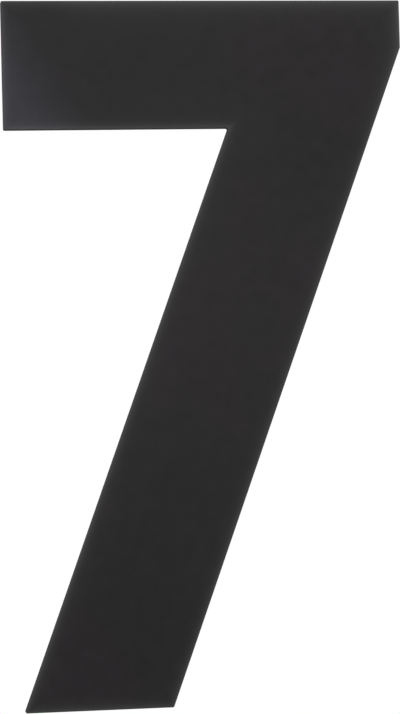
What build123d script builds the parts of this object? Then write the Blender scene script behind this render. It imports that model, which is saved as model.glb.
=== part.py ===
from build123d import *
import math
import os

# House number: a flat figure seven that stands off the wall on two hidden fixings.
# Millimetres. The figure faces -Y, +Z is up and the studs point along +Y into the wall.
# The origin is midway between the two studs, on the plane of the wall.

# Driving dimensions of the figure
number_height = 200.0
number_width = 114.5
bar_height = 36.4
stub_height = 13.6        # upright end of the bar, at its right
stem_width = 41.9         # measured level
foot_inset = 2.2          # foot's left corner, in from the bar's left end
plate_thickness = 3.0
corner_radius = 0.4       # upright corners of the cut
rim_radius = 0.2          # rims of both faces, rounded by the coating

# Driving dimensions of the fixings
lower_stud_rise = 41.8    # lower stud's centre above the foot
thread_diameter = 4.0
thread_length = 25.0      # what goes into the wall
tip_chamfer = 0.7
neck_diameter = 3.5       # plain shank, as thick as the thread's pitch diameter
flange_diameter = 5.5
flange_thickness = 0.8
spacer_diameter = 10.0
spacer_length = 10.0      # gap between the plate and the wall
spacer_chamfer = 0.5
bore_clearance = 0.2      # all round, between the thread and the spacer's bore
flange_clearance = 0.4    # round and behind the weld flange, in the spacer's pocket

# Places that follow from them
stem_lean = (number_width - foot_inset - stem_width) / (number_height - stub_height)
underside = number_height - bar_height
inner_corner_x = foot_inset + stem_lean * underside
stub_bottom = number_height - stub_height
upper_stud_rise = number_height - bar_height / 2
stud_x = foot_inset + stem_width / 2 + stem_lean * lower_stud_rise
stud_spacing = upper_stud_rise - lower_stud_rise
origin_rise = (upper_stud_rise + lower_stud_rise) / 2
plate_back = -spacer_length


def figure_outline():
    """Seven corners of the figure, from its top left, with the stud line at x = 0."""
    corners = [
        (0, number_height),
        (number_width, number_height),
        (number_width, stub_bottom),
        (foot_inset + stem_width, 0),
        (foot_inset, 0),
        (inner_corner_x, underside),
        (0, underside),
    ]
    return [(x - stud_x, z - origin_rise) for x, z in corners]


def make_plate():
    """Flat plate cut to the outline, with its corners and both rims rounded."""
    with BuildPart() as plate:
        with BuildSketch(Plane.XZ.offset(spacer_length)):
            Polygon(*figure_outline(), align=None)
        extrude(amount=plate_thickness)
        cut_corners = plate.edges().filter_by(Axis.Y)
        fillet(cut_corners, radius=corner_radius)
        front_and_back = plate.faces().filter_by(Axis.Y)
        rims = [edge for face in front_and_back for edge in face.edges()]
        fillet(rims, radius=rim_radius)
    return plate.part


def turned(profile):
    """Solid turned about the Y axis from (radius, y) corners."""
    with BuildPart() as piece:
        with BuildSketch(Plane.XY):
            Polygon(*profile, align=None)
        revolve(axis=Axis.Y)
    return piece.part


def make_stud():
    """Weld stud: flange on the plate's back, plain neck, then the thread past the wall."""
    neck = neck_diameter / 2
    thread = thread_diameter / 2
    flange = flange_diameter / 2
    flange_top = plate_back + flange_thickness
    shoulder = thread - neck
    return turned([
        (0, plate_back),
        (flange, plate_back),
        (flange, flange_top),
        (neck, flange_top),
        (neck, -shoulder),
        (thread, 0),
        (thread, thread_length - tip_chamfer),
        (thread - tip_chamfer, thread_length),
        (0, thread_length),
    ])


def make_spacer():
    """Sleeve between plate and wall, with a pocket at its plate end for the weld flange."""
    outer = spacer_diameter / 2
    bore = thread_diameter / 2 + bore_clearance
    pocket = flange_diameter / 2 + flange_clearance
    pocket_end = plate_back + flange_thickness + flange_clearance
    return turned([
        (pocket, plate_back),
        (outer - spacer_chamfer, plate_back),
        (outer, plate_back + spacer_chamfer),
        (outer, -spacer_chamfer),
        (outer - spacer_chamfer, 0),
        (bore, 0),
        (bore, pocket_end),
        (pocket, pocket_end),
    ])


half_spacing = stud_spacing / 2
stud_places = {
    "upper": Pos(0, 0, half_spacing),
    "lower": Pos(0, 0, -half_spacing),
}

nodes = {"number_plate": make_plate()}
for place_name, place in stud_places.items():
    nodes[place_name + "_stud"] = place * make_stud()
    nodes[place_name + "_spacer"] = place * make_spacer()

os.makedirs("parts", exist_ok=True)
for node_name, solid in nodes.items():
    export_step(solid, os.path.join("parts", node_name + ".step"))

lean_degrees = math.degrees(math.atan(stem_lean))
print(f"stem leans {lean_degrees:.2f} degrees, inner corner {inner_corner_x:.2f} mm from the left")
print(f"studs {stud_spacing:.2f} mm apart, {stud_x:.2f} mm from the left edge")
print(f"origin {origin_rise:.2f} mm above the foot")
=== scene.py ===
import math

import bpy
import numpy as np
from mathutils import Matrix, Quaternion, Vector


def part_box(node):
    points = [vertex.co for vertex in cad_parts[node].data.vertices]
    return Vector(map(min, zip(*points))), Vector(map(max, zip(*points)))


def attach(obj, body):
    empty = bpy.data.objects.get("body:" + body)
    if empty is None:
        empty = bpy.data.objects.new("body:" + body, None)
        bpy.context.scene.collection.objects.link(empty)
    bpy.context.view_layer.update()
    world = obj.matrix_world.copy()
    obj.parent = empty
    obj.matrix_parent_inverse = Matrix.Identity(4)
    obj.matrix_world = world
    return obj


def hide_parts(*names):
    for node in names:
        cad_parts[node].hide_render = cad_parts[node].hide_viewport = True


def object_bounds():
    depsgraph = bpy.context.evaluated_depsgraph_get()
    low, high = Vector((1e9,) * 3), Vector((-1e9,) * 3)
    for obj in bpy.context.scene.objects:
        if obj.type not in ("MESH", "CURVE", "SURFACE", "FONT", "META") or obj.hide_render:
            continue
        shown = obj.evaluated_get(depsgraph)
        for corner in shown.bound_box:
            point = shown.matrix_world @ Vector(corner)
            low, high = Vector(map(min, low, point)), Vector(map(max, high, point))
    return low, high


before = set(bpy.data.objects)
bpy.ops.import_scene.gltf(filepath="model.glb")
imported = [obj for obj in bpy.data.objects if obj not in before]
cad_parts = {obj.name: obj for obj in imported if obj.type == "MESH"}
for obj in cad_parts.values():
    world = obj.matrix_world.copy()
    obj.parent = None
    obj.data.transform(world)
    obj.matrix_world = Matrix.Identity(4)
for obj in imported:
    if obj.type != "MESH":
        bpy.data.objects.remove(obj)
cad_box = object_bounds()
lowest = Vector(cad_box[0])
scene = bpy.context.scene
scene.view_settings.view_transform = "Standard"
MM = 0.001

# Camera: it stands a little to the left of the figure and just below its middle, and
# leans clockwise by a degree and a half, as the picture was taken.
eye = Vector((-77.1, -680.5, -33.2)) * MM
aim = Vector((15.1, -13.0, -13.3)) * MM
lean_clockwise = math.radians(1.5)

camera = bpy.data.objects.new("camera", bpy.data.cameras.new("camera"))
camera.data.lens = 120.0
camera.data.sensor_width = 36.0
camera.data.clip_start = 10 * MM
camera.location = eye
level_turn = (aim - eye).to_track_quat("-Z", "Y")
camera.rotation_mode = "QUATERNION"
camera.rotation_quaternion = level_turn @ Quaternion((0, 0, 1), -lean_clockwise)
scene.collection.objects.link(camera)
scene.camera = camera


# Recipes: a short way to write the node trees of the finishes, the floor and the room.
class Value:
    """Number on a node's socket. Arithmetic on it adds Math nodes to the same tree."""

    def __init__(self, recipe, socket):
        self.recipe = recipe
        self.socket = socket

    def math(self, operation, *others):
        node = self.recipe.node("ShaderNodeMath", {"operation": operation}, [self, *others])
        return Value(self.recipe, node.outputs[0])

    def __add__(self, other):
        return self.math("ADD", other)

    def __sub__(self, other):
        return self.math("SUBTRACT", other)

    def __rsub__(self, other):
        return (self * -1.0).math("ADD", other)

    def __mul__(self, other):
        return self.math("MULTIPLY", other)


class Recipe:
    """Node tree of one material or world. node() adds a node with its settings, and with the
    numbers or links of its sockets."""

    def __init__(self, owner):
        owner.use_nodes = True
        self.tree = owner.node_tree
        self.tree.nodes.clear()

    def node(self, kind, settings=None, inputs=()):
        node = self.tree.nodes.new(kind)
        for name, setting in (settings or {}).items():
            setattr(node, name, setting)
        pairs = inputs.items() if isinstance(inputs, dict) else enumerate(inputs)
        for key, value in pairs:
            socket = node.inputs[key]
            if isinstance(value, Value):
                self.tree.links.new(value.socket, socket)
            elif isinstance(value, bpy.types.NodeSocket):
                self.tree.links.new(value, socket)
            else:
                socket.default_value = value
        return node

    def value(self, kind, settings=None, inputs=(), output=0):
        return Value(self, self.node(kind, settings, inputs).outputs[output])

    def mixed(self, share, first, second):
        """Colour that goes from the first to the second as the share goes from nought to one."""
        first_colour, second_colour, mixed_colour = 6, 7, 2  # the Mix node's sockets for colours
        sockets = {"Factor": share, first_colour: first, second_colour: second}
        return self.node("ShaderNodeMix", {"data_type": "RGBA"}, sockets).outputs[mixed_colour]

    def scaled(self, colour, share):
        """Colour with all its channels times the share."""
        sockets = {0: colour, "Scale": share}
        return self.node("ShaderNodeVectorMath", {"operation": "SCALE"}, sockets).outputs[0]

    def ramp(self, value, start, end):
        """Share that eases from nought to one as the value goes from start to end."""
        return self.value("ShaderNodeMapRange", {"interpolation_type": "SMOOTHSTEP"}, [value, start, end])

    def noise(self, place, scale, detail):
        """Cloudy pattern from nought to one, with scale features to the metre."""
        sockets = {"Vector": place, "Scale": scale, "Detail": detail}
        return self.value("ShaderNodeTexNoise", {}, sockets, "Fac")

    def place(self):
        """Where a point lies in its object's own frame, in metres."""
        return self.node("ShaderNodeTexCoord").outputs["Object"]

    def split(self, place):
        """The three numbers of a place."""
        parts = self.node("ShaderNodeSeparateXYZ", {}, [place])
        return [Value(self, parts.outputs[axis]) for axis in "XYZ"]

    def bumped(self, height, distance):
        """Normal of a surface that stands up by the distance where the height is one."""
        sockets = {"Strength": 1.0, "Distance": distance, "Height": height}
        return self.node("ShaderNodeBump", {}, sockets).outputs[0]

    def surface(self, shader):
        """Ends a material's tree with the shader."""
        self.node("ShaderNodeOutputMaterial", {}, {"Surface": shader.outputs[0]})


def seen_directly(recipe):
    """One for rays from the camera, off gloss or through glass, and nought for the rest."""
    path = recipe.node("ShaderNodeLightPath")
    kinds = ("Is Camera Ray", "Is Glossy Ray", "Is Transmission Ray")
    direct, glossy, through = (Value(recipe, path.outputs[kind]) for kind in kinds)
    return direct.math("MAXIMUM", glossy.math("MAXIMUM", through))


# Floor and room: the figure hangs over a pale floor that fades to white further off, in the
# even light of a white room.
floor_drop = 70 * MM
floor_half = 4.0
fade_shift = (0.0, 0.6, 0.0)  # added to each place, so the fade centres in front of the figure
fade_start = 0.7
fade_end = 1.1
level_only = (1.0, 1.0, 0.0)
floor_colour = (0.68, 0.68, 0.68, 1.0)
pure_white = (1.0, 1.0, 1.0, 1.0)
room_light = 0.79
floor_signs = ((-1, -1), (1, -1), (1, 1), (-1, 1))


def floor_material():
    """Matt grey that fades to glowing white further off, where it is seen directly."""
    floor_paint = bpy.data.materials.new("floor_paint")
    recipe = Recipe(floor_paint)
    shifted = [recipe.place(), level_only, fade_shift]
    flat = recipe.node("ShaderNodeVectorMath", {"operation": "MULTIPLY_ADD"}, shifted)
    off_centre = recipe.value("ShaderNodeVectorMath", {"operation": "LENGTH"}, [flat.outputs[0]], "Value")
    fade = recipe.ramp(off_centre, fade_start, fade_end)
    paint = recipe.node("ShaderNodeBsdfDiffuse", {}, {"Color": floor_colour})
    white = recipe.node("ShaderNodeEmission", {}, {"Color": pure_white, "Strength": 1.0})
    layers = [fade * seen_directly(recipe), paint.outputs[0], white.outputs[0]]
    recipe.surface(recipe.node("ShaderNodeMixShader", {}, layers))
    return floor_paint


def make_floor():
    """One large level square below the figure."""
    floor_level = lowest.z - floor_drop
    floor_mesh = bpy.data.meshes.new("floor")
    floor_corners = [(x * floor_half, y * floor_half, floor_level) for x, y in floor_signs]
    floor_mesh.from_pydata(floor_corners, [], [(0, 1, 2, 3)])
    floor_mesh.materials.append(floor_material())
    unit = bpy.data.objects.new("floor", floor_mesh)
    scene.collection.objects.link(unit)
    return unit


floor = make_floor()

world = bpy.data.worlds.new("white_room")
scene.world = world
recipe = Recipe(world)
strength = seen_directly(recipe) * (1.0 - room_light) + room_light
room = recipe.node("ShaderNodeBackground", {}, {"Color": pure_white, "Strength": strength})
recipe.node("ShaderNodeOutputWorld", {}, {"Surface": room.outputs[0]})


# Lamps: wide soft ones above, at the left and behind, and a weak one in front whose wide sheen
# centres in the open angle of bar and stem. A small gridded one close to the bar's left end is
# mirrored there by the satin face as a soft bluish patch. Places and sizes are in metres.
def lamp(name, place, target, width, height, watts, roll=0.0):
    """Rectangular lamp at place, facing the target, rolled about its own axis."""
    light = bpy.data.lights.new(name, "AREA")
    light.shape = "RECTANGLE"
    light.size = width
    light.size_y = height
    light.energy = watts
    unit = bpy.data.objects.new(name, light)
    unit.location = place
    level_turn = (Vector(target) - Vector(place)).to_track_quat("-Z", "Y")
    unit.rotation_mode = "QUATERNION"
    unit.rotation_quaternion = level_turn @ Quaternion((0, 0, 1), roll)
    unit.visible_camera = False
    scene.collection.objects.link(unit)
    return light


def mirrored(patch, distance):
    """Place in front of the face whose mirror image the camera sees at the patch of it."""
    sight = patch - eye
    return patch + Vector((sight.x, -sight.y, sight.z)) * (distance / sight.y)


middle = (0.0, 0.0, 0.0)
lamp("top_lamp", place=(0.1, -1.1, 0.9), target=(0.0, 0.0, 0.05), width=0.8, height=0.6, watts=4.6)
lamp("side_lamp", place=(-1.3, -0.8, 0.4), target=middle, width=0.9, height=0.9, watts=2.0)
lamp("rear_lamp", place=(0.9, 1.0, 0.9), target=middle, width=0.5, height=0.5, watts=4.0)

sheen_middle = Vector((-0.012, lowest.y, 0.008))
sheen_place = mirrored(sheen_middle, distance=1.1)
lamp("front_lamp", place=sheen_place, target=middle, width=0.15, height=0.15, watts=0.3)

patch_middle = Vector((-0.0415, lowest.y, 0.0520))
patch_place = mirrored(patch_middle, distance=0.04)
straight_at_face = patch_place + Vector((0.0, 1.0, 0.0))
corner_lamp = lamp("corner_lamp", place=patch_place, target=straight_at_face,
                   width=0.028, height=0.046, watts=0.00092, roll=math.radians(26))
corner_lamp.color = (0.68, 0.72, 1.0)
corner_lamp.spread = math.radians(40)


# Number plate: the figure itself, cut by laser from 3 mm sheet steel and powder coated in satin
# black all over. The coat rounds its rims and half hides the cut's fine ridges; a highlight is
# painted into its colour as grey along the edges, and also along the bar's top and right end.
bar_height = 36.4 * MM
stub_height = 13.6 * MM
stem_width = 41.9 * MM
foot_inset = 2.2 * MM
corner_radius = 0.4 * MM
rim_radius = 0.2 * MM
rim_steps = 6
face_lip = 0.1 * MM       # flat band between the rim and the open face
cut_step = 0.2 * MM
wall_steps = 9
corner_steps = 8
ridge_depth = 0.024 * MM
ridge_lag = 0.5 * MM      # how far a ridge trails behind at the back of the cut
ridge_lengths = (0.85 * MM, 1.21 * MM, 1.77 * MM)
ridge_phase = 1.7


def skin(name, points, closed_ends):
    """Mesh over a grid of points[row, column], joined round its columns. The rows go back and
    the columns clockwise as seen from the front, so that faces point outwards. The first and
    last rows get a flat face each where closed_ends is true, and otherwise meet each other."""
    rows, columns = points.shape[:2]
    row = np.arange(rows if not closed_ends else rows - 1)[:, None]
    column = np.arange(columns)[None, :]
    next_row = (row + 1) % rows
    next_column = (column + 1) % columns
    corners = [row * columns + column, row * columns + next_column,
               next_row * columns + next_column, next_row * columns + column]
    faces = np.stack(corners, axis=-1).reshape(-1, 4).tolist()
    if closed_ends:
        faces.append(list(range(columns))[::-1])
        faces.append(list(range((rows - 1) * columns, rows * columns)))
    mesh = bpy.data.meshes.new(name)
    mesh.from_pydata(points.reshape(-1, 3).tolist(), [], faces)
    mesh.polygons.foreach_set("use_smooth", [True] * len(mesh.polygons))
    mesh.update()
    piece = bpy.data.objects.new(name, mesh)
    scene.collection.objects.link(piece)
    return piece


plate_low, plate_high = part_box("number_plate")
figure_left = plate_low.x
figure_foot = plate_low.z
figure_width = plate_high.x - plate_low.x
figure_height = plate_high.z - plate_low.z
thickness = plate_high.y - plate_low.y
underside = figure_height - bar_height
stem_lean = (figure_width - foot_inset - stem_width) / (figure_height - stub_height)
outline = np.array([
    (0.0, figure_height),
    (0.0, underside),
    (foot_inset + stem_lean * underside, underside),
    (foot_inset, 0.0),
    (foot_inset + stem_width, 0.0),
    (figure_width, figure_height - stub_height),
    (figure_width, figure_height),
]) + (figure_left, figure_foot)


def rounded_path(corners, radius, step, arc_steps):
    """Points and outward normals round a closed outline, anticlockwise: straight runs joined by
    arcs. Where it turns by an angle, the arc starts radius x tan(angle / 2) before the corner."""
    runs = np.roll(corners, -1, axis=0) - corners
    lengths = np.linalg.norm(runs, axis=1)
    along = runs / lengths[:, None]
    before = np.roll(along, 1, axis=0)
    turn = np.arctan2(before[:, 0] * along[:, 1] - before[:, 1] * along[:, 0], (before * along).sum(1))
    trim = radius * np.tan(np.abs(turn) / 2)
    heading = np.arctan2(before[:, 1], before[:, 0])
    places = []
    normals = []
    for index, corner in enumerate(corners):
        bend = np.sign(turn[index])
        angle = heading[index] - math.pi / 2 + turn[index] * np.linspace(0, 1, arc_steps + 1)
        arc_normals = np.stack([np.cos(angle), np.sin(angle)], axis=1)
        arc_start = corner - before[index] * trim[index]
        centre = arc_start - bend * radius * arc_normals[0]
        places.append(centre + bend * radius * arc_normals)
        normals.append(arc_normals)
        straight = lengths[index] - trim[index] - np.roll(trim, -1)[index]
        count = max(2, round(straight / step))
        distance = trim[index] + straight * np.arange(1, count) / count
        places.append(corner + along[index] * distance[:, None])
        normals.append(np.repeat(arc_normals[-1:], count - 1, axis=0))
    return np.concatenate(places), np.concatenate(normals)


def cut_plate():
    """Wall of the cut, carried round the outline: rim arc, straight wall, rim arc. Ridges are
    three sine waves along the cut that trail with the square of the depth."""
    places, normals = rounded_path(outline, corner_radius, cut_step, corner_steps)
    steps = np.linalg.norm(np.roll(places, -1, axis=0) - places, axis=1)
    along = np.concatenate([[0.0], np.cumsum(steps)[:-1]])
    rim = np.linspace(0, math.pi / 2, rim_steps + 1)
    rim_inset = rim_radius * (1 - np.sin(rim))
    rim_depth = rim_radius * (1 - np.cos(rim))
    wall_depth = np.linspace(rim_radius, thickness - rim_radius, wall_steps + 1)[1:-1]
    lip = [rim_radius + face_lip]
    inset = np.concatenate([lip, rim_inset, np.zeros_like(wall_depth), rim_inset[::-1], lip])
    depth = np.concatenate([[0.0], rim_depth, wall_depth, thickness - rim_depth[::-1], [thickness]])
    share = depth / thickness
    lagged = along[None, :] - ridge_lag * share[:, None] ** 2
    ridges = sum(np.sin(2 * math.pi * lagged / length + ridge_phase * wave)
                 for wave, length in enumerate(ridge_lengths))
    bared = np.clip((np.minimum(depth, thickness - depth) - rim_radius) / rim_radius, 0, 1)
    out = ridge_depth / 2 * bared[:, None] * (ridges / len(ridge_lengths) - 1) - inset[:, None]
    flat = places[None, :, :] + normals[None, :, :] * out[:, :, None]
    y = np.repeat((plate_low.y + depth)[:, None], len(places), axis=1)
    anticlockwise = np.stack([flat[:, :, 0], y, flat[:, :, 1]], axis=-1)
    return skin("figure_plate", anticlockwise[:, ::-1], True)


plate = cut_plate()


def edge_distance(recipe, x, z):
    """Distance from a point of the face to the figure's edge: the bar and the stem are each
    the least of the distances to their own straight sides, and the larger of the two counts."""
    def side(start, end):
        run = outline[end] - outline[start]
        inward = np.array([-run[1], run[0]]) / np.linalg.norm(run)
        offset = -float(inward @ outline[start])
        return x * float(inward[0]) + z * float(inward[1]) + offset

    top, left, under = side(6, 0), side(0, 1), side(1, 2)
    stem_left, foot, stem_right, stub = side(2, 3), side(3, 4), side(4, 5), side(5, 6)
    shared = top.math("MINIMUM", stem_right).math("MINIMUM", stub)
    bar = shared.math("MINIMUM", left).math("MINIMUM", under)
    stem = shared.math("MINIMUM", stem_left).math("MINIMUM", foot)
    return bar.math("MAXIMUM", stem)


coat_black = (0.0079, 0.0075, 0.0080, 1.0)
coat_warm_black = (0.0094, 0.0075, 0.0090, 1.0)
# grey of the painted highlight along the figure's edges
coat_highlight_grey = (0.052, 0.051, 0.052, 1.0)
coat_roughness = 0.36
coat_specular = 0.187
rim_reach = 0.85 * MM
rim_share = 0.8           # how far the painted highlight takes the coat to grey at its very rim
edge_reach = 4.0 * MM
edge_share = 0.09         # the same, over the wider band beside the rim
top_highlight_reach = 2.6 * MM
top_highlight_share = 0.31         # the same again, a painted highlight along the bar's top and right end
top_highlight_start = -29 * MM     # the painted highlight along the top starts at this x and is full at the next
top_highlight_full = -15 * MM
wall_fall = 3.0           # how much faster the painted highlight fades over the wall than over the faces
wall_dullness = 0.55      # extra roughness on the wall of the cut, where the film is thin
rim_dullness = 0.05
cloud_scale = 28.0        # slow changes of the film about 35 mm across
cloud_lift = 0.4
cloud_dullness = 0.06
mottle_scale = 280.0      # mottling of 1 to 4 mm
mottle_lift = 0.85
tint_scale = 15.0         # drift between the two blacks
tint_start = 0.35
tint_end = 0.65
peel_scale = 900.0        # orange peel about a millimetre across
peel_height = 0.012 * MM


def coat_material():
    """Satin black powder coat, with a highlight painted in as greys that follow the distance from the
    figure's edge.
    """
    coat = bpy.data.materials.new("satin_black_powder_coat")
    recipe = Recipe(coat)
    place = recipe.place()
    x, y, z = recipe.split(place)
    edge = edge_distance(recipe, x, z).math("MAXIMUM", 0.0)
    off_front = (y - plate_low.y).math("MINIMUM", plate_high.y - y)
    off_rim = off_front * wall_fall + edge
    # Painted highlight: the coat goes to grey near its rims and over the band beside them.
    rim_highlight = (off_rim * (-1.0 / rim_reach)).math("EXPONENT")
    edge_highlight = (off_rim * (-1.0 / edge_reach)).math("EXPONENT")
    # Painted highlight along the bar's top and right end.
    off_top_and_end = (plate_high.z - z).math("MINIMUM", plate_high.x - x)
    top_highlight_along = recipe.ramp(x, top_highlight_start, top_highlight_full)
    top_highlight_glow = (off_top_and_end * (-1.0 / top_highlight_reach)).math("EXPONENT") * top_highlight_along
    on_wall = recipe.ramp(off_front, rim_radius / 2, rim_radius * 1.5)
    cloud = recipe.noise(place, cloud_scale, detail=3.0)
    mottle = recipe.noise(place, mottle_scale, detail=3.0)
    peel = recipe.noise(place, peel_scale, detail=2.0)
    lightness = (cloud - 0.5) * cloud_lift + (mottle - 0.5) * mottle_lift + 1.0
    warmth = recipe.ramp(recipe.noise(place, tint_scale, detail=2.0), tint_start, tint_end)
    film = recipe.scaled(recipe.mixed(warmth, coat_black, coat_warm_black), lightness)
    # All of the painted highlight, mixed into the film's colour.
    painted_highlight = rim_highlight * rim_share + edge_highlight * edge_share + top_highlight_glow * top_highlight_share
    colour = recipe.mixed(painted_highlight, film, coat_highlight_grey)
    dullness = (cloud - 0.5) * cloud_dullness + rim_highlight * rim_dullness + on_wall * wall_dullness
    shader = recipe.node("ShaderNodeBsdfPrincipled", {}, {
        "Base Color": colour,
        "Roughness": dullness + coat_roughness,
        "Specular IOR Level": coat_specular,
        "Normal": recipe.bumped(peel, peel_height),
    })
    recipe.surface(shader)
    return coat


plate.data.materials.append(coat_material())
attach(plate, "root")
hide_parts("number_plate")


# Studs: two M4 studs of stainless steel, welded by their flanges to the plate's back before
# it was coated, so the flange is black too. A plain neck leads to a rolled thread.
flange_radius = 2.75 * MM
flange_thickness = 0.8 * MM
weld_radius = 3.0 * MM
weld_height = 0.3 * MM
weld_wander = 0.05 * MM
weld_waves = (3, 7)       # coarse and fine unevenness, in waves round the bead
weld_phase = 0.4
neck_radius = 1.75 * MM
neck_fillet = 0.25 * MM
thread_radius = 2.0 * MM
thread_pitch = 0.7 * MM
thread_depth = 0.43 * MM
crest_share = 0.125       # of the pitch, how wide the thread's crest is
root_share = 0.25         # the same for its root
run_out = 0.6 * MM        # over which the thread reaches its full depth
tip_chamfer = 0.7 * MM
tip_lip = 0.08 * MM       # flat band round the sawn end
stud_columns = 56
thread_rows_each_turn = 14
fillet_steps = 5


def thread_cut(turn):
    """Depth share of a 60 degree thread: nought on its crest, one in its root, and straight
    flanks between them."""
    off_crest = 1 - np.abs(2 * (turn % 1.0) - 1)
    return np.clip((off_crest - crest_share) / (1 - crest_share - root_share), 0, 1)


def make_stud(node):
    """Radius as a function of height and angle: a turned profile, with the thread's depth taken
    off along a helix that climbs one pitch a turn, and an uneven bead of weld at its foot."""
    low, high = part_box(node)
    axis_x, axis_z = (low.x + high.x) / 2, (low.z + high.z) / 2
    base, tip = low.y, high.y
    flange_top = base + flange_thickness
    thread_start = 0.0  # the plane of the wall
    arc = np.linspace(0, math.pi / 2, fillet_steps + 1)
    weld_y = base + weld_height * (1 - np.cos(arc))
    weld_r = flange_radius + (weld_radius - flange_radius) * (1 - np.sin(arc))
    neck_y = flange_top + neck_fillet * (1 - np.cos(arc))
    neck_r = neck_radius + neck_fillet * (1 - np.sin(arc))
    rows = math.ceil((tip - thread_start) / thread_pitch * thread_rows_each_turn)
    thread_y = np.linspace(thread_start, tip, rows + 1)
    shoulder = thread_radius - neck_radius
    plain_y = [flange_top - neck_fillet / 2, flange_top, flange_top]
    plain_r = [flange_radius, flange_radius - neck_fillet / 2, neck_radius + 2 * neck_fillet]
    y = np.concatenate([weld_y, plain_y, neck_y, [thread_start - shoulder], thread_y, [tip]])[:, None]
    thread_r = np.full(len(thread_y) + 1, thread_radius)
    blank = np.concatenate([weld_r, plain_r, neck_r, [neck_radius], thread_r])[:, None]
    angle = (np.arange(stud_columns) / stud_columns * 2 * math.pi)[None, :]
    coarse, fine = weld_waves
    bead = weld_wander * (np.sin(coarse * angle + weld_phase) + np.sin(fine * angle) / 2)
    bead = bead * np.clip(1 - (y - base) / weld_height, 0, 1)
    cut = thread_depth * thread_cut(y / thread_pitch - angle / (2 * math.pi))
    cut = cut * np.clip((y - thread_start) / run_out, 0, 1)
    radius = np.minimum(blank + bead - cut, thread_radius + tip - tip_chamfer - y)
    radius = np.where(y < thread_start, blank + bead, radius)
    radius[-1] -= tip_lip
    x = axis_x + radius * np.cos(angle)
    z = axis_z - radius * np.sin(angle)
    return skin(node + "_threaded", np.stack(np.broadcast_arrays(x, y, z), axis=-1), True)


steel_tint = (0.47, 0.46, 0.44, 1.0)
steel_roughness = 0.22
root_shade = 0.35         # share of painted shade by which the thread's root is darker than its crest
grain_scale = 2500.0
grain_dullness = 0.12
coat_end = 1.2 * MM       # where the coat stops on the neck, from the plate's back
coat_feather = 0.5 * MM


def steel_material():
    """Stainless steel, with shade painted into the thread's root, and black where the coat covers the
    stud.
    """
    steel = bpy.data.materials.new("stainless_stud_steel")
    recipe = Recipe(steel)
    place = recipe.place()
    x, depth, z = recipe.split(place)
    upper_low, upper_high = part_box("upper_stud")
    sideways = x - (upper_low.x + upper_high.x) / 2
    upwards = z.math("ABSOLUTE") - (upper_low.z + upper_high.z) / 2  # the lower stud mirrors it
    off_axis = (sideways * sideways + upwards * upwards).math("SQRT")
    root = recipe.value("ShaderNodeMapRange", {}, [off_axis, thread_radius, thread_radius - thread_depth])
    threaded = recipe.value("ShaderNodeMapRange", {}, [depth, 0.0, run_out])
    coat_line = plate_high.y + coat_end
    bare = recipe.ramp(depth, coat_line, coat_line + coat_feather)
    grain = recipe.noise(place, grain_scale, detail=3.0)
    # Painted shade: the thread's root is darkened where it lies in shade between the flanks.
    painted_root_shade = root * threaded * -root_shade + 1.0
    colour = recipe.scaled(recipe.mixed(bare, coat_black, steel_tint), painted_root_shade)
    dullness = bare * (steel_roughness - coat_roughness) + (grain - 0.5) * grain_dullness
    shader = recipe.node("ShaderNodeBsdfPrincipled", {}, {
        "Base Color": colour,
        "Roughness": dullness + coat_roughness,
        "Metallic": bare,
    })
    recipe.surface(shader)
    return steel


stud_steel = steel_material()

for node in ("upper_stud", "lower_stud"):
    stud = make_stud(node)
    stud.data.materials.append(stud_steel)
    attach(stud, "root")
    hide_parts(node)


# Spacers: two sleeves moulded in black nylon, slipped over the studs and held between the
# plate and the wall. A pocket at the plate's end clears the weld flange.
spacer_bore = 2.2 * MM
spacer_pocket = 3.15 * MM
pocket_depth = 1.2 * MM
spacer_chamfer = 0.5 * MM
edge_round = 0.08 * MM
edge_steps = 3
spacer_columns = 96
profile_step = 0.5 * MM
seam_height = 0.04 * MM
seam_angle = 0.012        # half width of the parting line, in radians
seam_spread = np.array([-3.0, -1.5, -0.75, 0.75, 1.5, 3.0]) * seam_angle  # added columns


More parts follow.
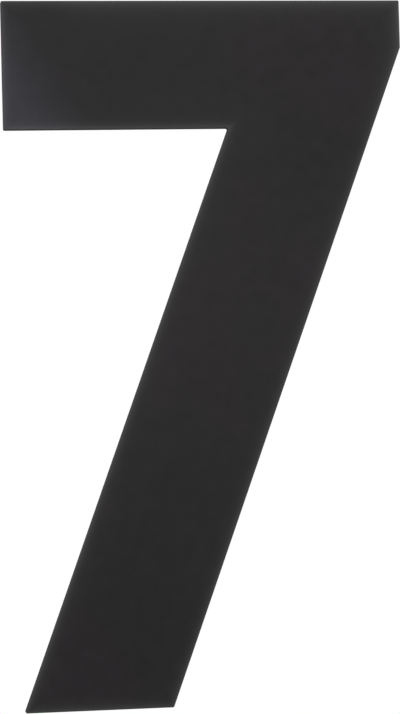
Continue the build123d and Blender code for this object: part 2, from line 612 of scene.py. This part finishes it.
def make_spacer(node):
    """Ring profile turned about the stud's axis, with rounded edges. The mould's parting line
    stands up on both sides as a bell curve of the angle from it."""
    low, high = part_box(node)
    axis_x, axis_z = (low.x + high.x) / 2, (low.z + high.z) / 2
    outer = (high.x - low.x) / 2
    base, end = low.y, high.y
    corners = np.array([
        (spacer_pocket, base),
        (outer - spacer_chamfer, base),
        (outer, base + spacer_chamfer),
        (outer, end - spacer_chamfer),
        (outer - spacer_chamfer, end),
        (spacer_bore, end),
        (spacer_bore, base + pocket_depth),
        (spacer_pocket, base + pocket_depth),
    ])
    profile, _ = rounded_path(corners, edge_round, profile_step, edge_steps)
    even = np.arange(spacer_columns) / spacer_columns * 2 * math.pi
    angle = np.sort(np.concatenate([even, seam_spread % (2 * math.pi), seam_spread + math.pi]))[None, :]
    off_seam = np.abs((angle + math.pi / 2) % math.pi - math.pi / 2)
    seam = seam_height * np.exp(-(off_seam / seam_angle) ** 2)
    radius = profile[:, :1] + seam * (profile[:, :1] > outer - spacer_chamfer / 2)
    x = axis_x + radius * np.cos(angle)
    z = axis_z - radius * np.sin(angle)
    y = profile[:, 1:]
    return skin(node + "_sleeve", np.stack(np.broadcast_arrays(x, y, z), axis=-1), False)


nylon_black = (0.018, 0.018, 0.019, 1.0)
nylon_roughness = 0.52
spark_scale = 4000.0      # spark texture of the mould, about a quarter of a millimetre across
spark_height = 0.015 * MM
flow_scale = 400.0
flow_dullness = 0.15


def nylon_material():
    """Black nylon with the mould's spark texture and a slight flow pattern in its gloss."""
    nylon = bpy.data.materials.new("moulded_black_nylon")
    recipe = Recipe(nylon)
    place = recipe.place()
    spark = recipe.noise(place, spark_scale, detail=2.0)
    flow = recipe.noise(place, flow_scale, detail=2.0)
    shader = recipe.node("ShaderNodeBsdfPrincipled", {}, {
        "Base Color": nylon_black,
        "Roughness": (flow - 0.5) * flow_dullness + nylon_roughness,
        "Normal": recipe.bumped(spark, spark_height),
    })
    recipe.surface(shader)
    return nylon


nylon = nylon_material()

for node in ("upper_spacer", "lower_spacer"):
    spacer = make_spacer(node)
    spacer.data.materials.append(nylon)
    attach(spacer, "root")
    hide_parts(node)
